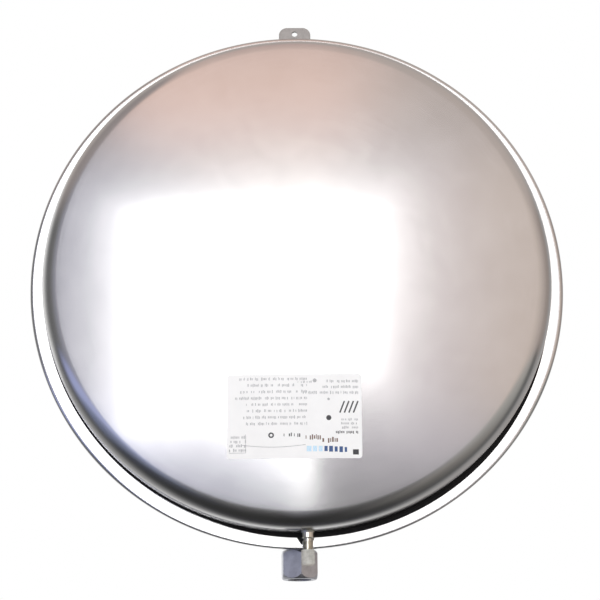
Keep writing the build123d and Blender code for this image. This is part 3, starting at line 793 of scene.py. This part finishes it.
low = field(elevation, -90, 0, [(-90, 0.03), (-70, 0.03), (-48, 0.045), (-27, 0.10), (-19, 0.14), (-15, 0.21), (-13.2, (0.37, 0.38, 0.44)), (-12, (0.50, 0.53, 0.68)), (-10, (0.56, 0.59, 0.82)), (-7.5, (0.50, 0.49, 0.66)), (-3, (0.56, 0.56, 0.70))])
low_right = field(elevation, -90, 0, [(-90, 0.03), (-70, 0.03), (-48, 0.045), (-27, 0.09), (-17, 0.14), (-13.5, 0.20), (-12, (0.30, 0.30, 0.32)), (-10, (0.48, 0.47, 0.51)), (-7.5, (0.62, 0.58, 0.66)), (-2, (0.70, 0.64, 0.71))])
far_right = field(elevation, -90, 0, [(-90, 0.03), (-60, 0.06), (-38, (0.20, 0.19, 0.18)), (-27, (0.31, 0.29, 0.27)), (-17, (0.41, 0.40, 0.38)), (-11, (0.47, 0.46, 0.43)), (-4, (0.54, 0.51, 0.48)), (-1, (0.62, 0.57, 0.53))])
far_left = field(elevation, -90, 0, [(-90, 0.03), (-50, 0.04), (-31, (0.06, 0.065, 0.085)), (-27, (0.15, 0.17, 0.24)), (-23, (0.20, 0.23, 0.34)), (-17, (0.25, 0.28, 0.43)), (-12, (0.50, 0.56, 0.88)), (-8, (0.50, 0.55, 0.90)), (-3, (0.45, 0.49, 0.80))])
low = blend(low, low_right, rise(azimuth, -1.0, 3.0))
low = blend(low, far_right, rise(azimuth, 14.0, 36.0))
low = blend(low, far_left, fall(azimuth, -26.0, -17.0))
turned = maths(wt, "ABSOLUTE", azimuth)
side_low = blend(field(turned, 60, 180, [(60, 0.10), (95, 0.13), (105, 0.28), (125, 0.42), (145, 0.75), (165, 1.1)]), (0.04, 0.04, 0.045), fall(elevation, -75.0, -38.0))
low = blend(low, side_low, rise(turned, 66.0, 92.0))
low = blend(low, (0.46, 0.44, 0.43), both(both(rise(azimuth, 98.0, 122.0), fall(azimuth, 160.0, 178.0)), rise(elevation, -58.0, -24.0)))

middle = field(azimuth, -180, 180, [
    (-180, 1.4), (-150, 1.3), (-127, 0.90), (-115, 0.66), (-105, 0.38), (-94, 0.22), (-84, 0.16), (-73, 0.18), (-62, 0.21), (-52, (0.29, 0.29, 0.34)),
    (-41, (0.32, 0.32, 0.37)), (-31.5, (0.31, 0.31, 0.38)), (-28, (0.60, 0.60, 0.73)), (-24, (0.70, 0.69, 0.78)), (0, 0.7), (14, (0.82, 0.73, 0.76)),
    (19, (0.79, 0.69, 0.70)), (23.5, (0.75, 0.65, 0.62)), (27, (0.85, 0.70, 0.60)), (33, (0.79, 0.67, 0.60)), (42, (0.77, 0.66, 0.59)), (53, (0.70, 0.60, 0.54)),
    (64, (0.63, 0.54, 0.49)), (74, (0.58, 0.49, 0.45)), (85, (0.46, 0.39, 0.35)), (97, (0.41, 0.35, 0.32)), (112, (0.40, 0.35, 0.33)), (128, 0.44), (150, 0.62), (172, 0.95), (180, 1.2)])

top = field(elevation, 20, 90, [(20, (0.95, 0.85, 0.85)), (31, (1.08, 0.90, 0.88)), (35, (1.16, 0.85, 0.78)), (40, (1.13, 0.80, 0.68)), (45, (1.05, 0.75, 0.63)), (48.5, (0.87, 0.66, 0.60)), (58, (0.81, 0.63, 0.56)), (70, (0.77, 0.60, 0.54)), (90, (0.70, 0.52, 0.485))])
top = blend(top, (0.39, 0.345, 0.34), fall(wx, -0.43, -0.29))
top = blend(top, (0.64, 0.555, 0.51), rise(wx, 0.04, 0.29))
top = blend(top, (0.55, 0.50, 0.47), rise(wy, -0.05, 0.35))

room = blend(low, middle, rise(elevation, -6.0, 0.0))
room = blend(room, top, rise(elevation, 26.0, 38.0))
# a slot of light between the dark table and the key light, narrower towards its lower end, and its faint tail
slot_left = maths(wt, "MULTIPLY_ADD", maths(wt, "ADD", elevation, 8.0), -0.62, -1.5)
slot = both(maths(wt, "GREATER_THAN", azimuth, slot_left), maths(wt, "LESS_THAN", azimuth, 2.35))
slot = both(slot, both(rise(elevation, -12.7, -12.2), fall(elevation, -2.0, 4.0)))
room = blend(room, (3.1, 3.1, 3.1), slot)
tail = both(both(rise(azimuth, -4.0, 0.5), fall(azimuth, 1.0, 6.0)), both(rise(elevation, -62.0, -14.0), fall(elevation, -13.5, -12.0)))
room = blend(room, (0.50, 0.50, 0.58), maths(wt, "MULTIPLY", tail, 0.45))
back = wt.nodes["Background"]
wt.links.new(room, back.inputs["Color"])
back.inputs["Strength"].default_value = TOP

# white backdrop: only the camera sees it
SPHERE = 9.0
verts, faces = [(0, 0, -SPHERE), (0, 0, SPHERE)], []
for i in range(1, 12):
    e = -90 + 15 * i
    for k in range(24):
        a = math.radians(15 * k)
        verts.append((SPHERE * math.cos(math.radians(e)) * math.cos(a), SPHERE * math.cos(math.radians(e)) * math.sin(a), SPHERE * math.sin(math.radians(e))))
for k in range(24):
    j = (k + 1) % 24
    faces.append((0, 2 + j, 2 + k))
    faces.append((1, 2 + 10 * 24 + k, 2 + 10 * 24 + j))
    for i in range(10):
        faces.append((2 + i * 24 + k, 2 + i * 24 + j, 2 + (i + 1) * 24 + j, 2 + (i + 1) * 24 + k))
backdrop = put("backdrop", verts, faces, None, scale=1.0)
m, t, b = material("backdrop_white")
b.inputs["Base Color"].default_value = (0, 0, 0, 1)
b.inputs["Specular IOR Level"].default_value = 0.0
b.inputs["Emission Color"].default_value = (1, 1, 1, 1)
b.inputs["Emission Strength"].default_value = 1.0
backdrop.data.materials.append(m)
for what in ("diffuse", "glossy", "transmission", "volume_scatter", "shadow"):
    setattr(backdrop, "visible_" + what, False)


def direction(az, el):
    """Unit vector from the disc: azimuth 0 is -Y, and grows towards +X."""
    a, e = math.radians(az), math.radians(el)
    return Vector((math.sin(a) * math.cos(e), -math.cos(a) * math.cos(e), math.sin(e)))


def soft_light(name, az, el, dist, w, h, radiance, colour=(1, 1, 1)):
    """A soft box: az and el of its middle, w and h its size in degrees as seen from the disc."""
    d = bpy.data.lights.new(name, "AREA")
    d.shape = "RECTANGLE"
    d.size, d.size_y = 2 * dist * math.tan(math.radians(w / 2)), 2 * dist * math.tan(math.radians(h / 2))
    d.energy = radiance * math.pi * d.size * d.size_y
    d.color = colour
    o = bpy.data.objects.new(name, d)
    bpy.context.scene.collection.objects.link(o)
    n = direction(az, el)
    o.location = CENTRE + n * dist
    o.rotation_mode = "QUATERNION"
    o.rotation_quaternion = n.to_track_quat("Z", "Y")
    o.visible_camera = False
    return o


soft_light("key", -5.6, 14.2, 5.0, 33.2, 23.4, 2.46)
soft_light("key_corner", -11.6, -1.25, 5.0, 21.2, 7.5, 2.46)
fill = soft_light("fill", 18.0, 35.0, 4.0, 40.0, 40.0, 1.6, (0.72, 0.97, 1.06))
fill.visible_glossy = False         # lights paper, paint and plastic only

# ---- camera ---------------------------------------------------------------------------------------------------------
EL, AZ, ROLL, DIST, FOCAL = -16.70, -0.58, -0.55, 1.100, 1512.0
cam = bpy.data.cameras.new("camera")
cam.sensor_width = 36.0
cam.lens = FOCAL / 600 * 36.0
cam.shift_x, cam.shift_y = (300 - 297.0) / 600, -(300 - 281.3) / 600
cam.clip_start, cam.clip_end = 0.05, 60
camera = bpy.data.objects.new("camera", cam)
bpy.context.scene.collection.objects.link(camera)
e, a = math.radians(EL), math.radians(AZ)
to_cam = Vector((math.sin(a) * math.cos(e), -math.cos(a) * math.cos(e), math.sin(e)))
camera.location = CENTRE + to_cam * DIST
camera.rotation_mode = "QUATERNION"
q = (-to_cam).to_track_quat("-Z", "Y")
from mathutils import Quaternion
camera.rotation_quaternion = q @ Quaternion((0, 0, 1), math.radians(ROLL))
bpy.context.scene.camera = camera
bpy.context.scene.view_settings.view_transform = "Standard"
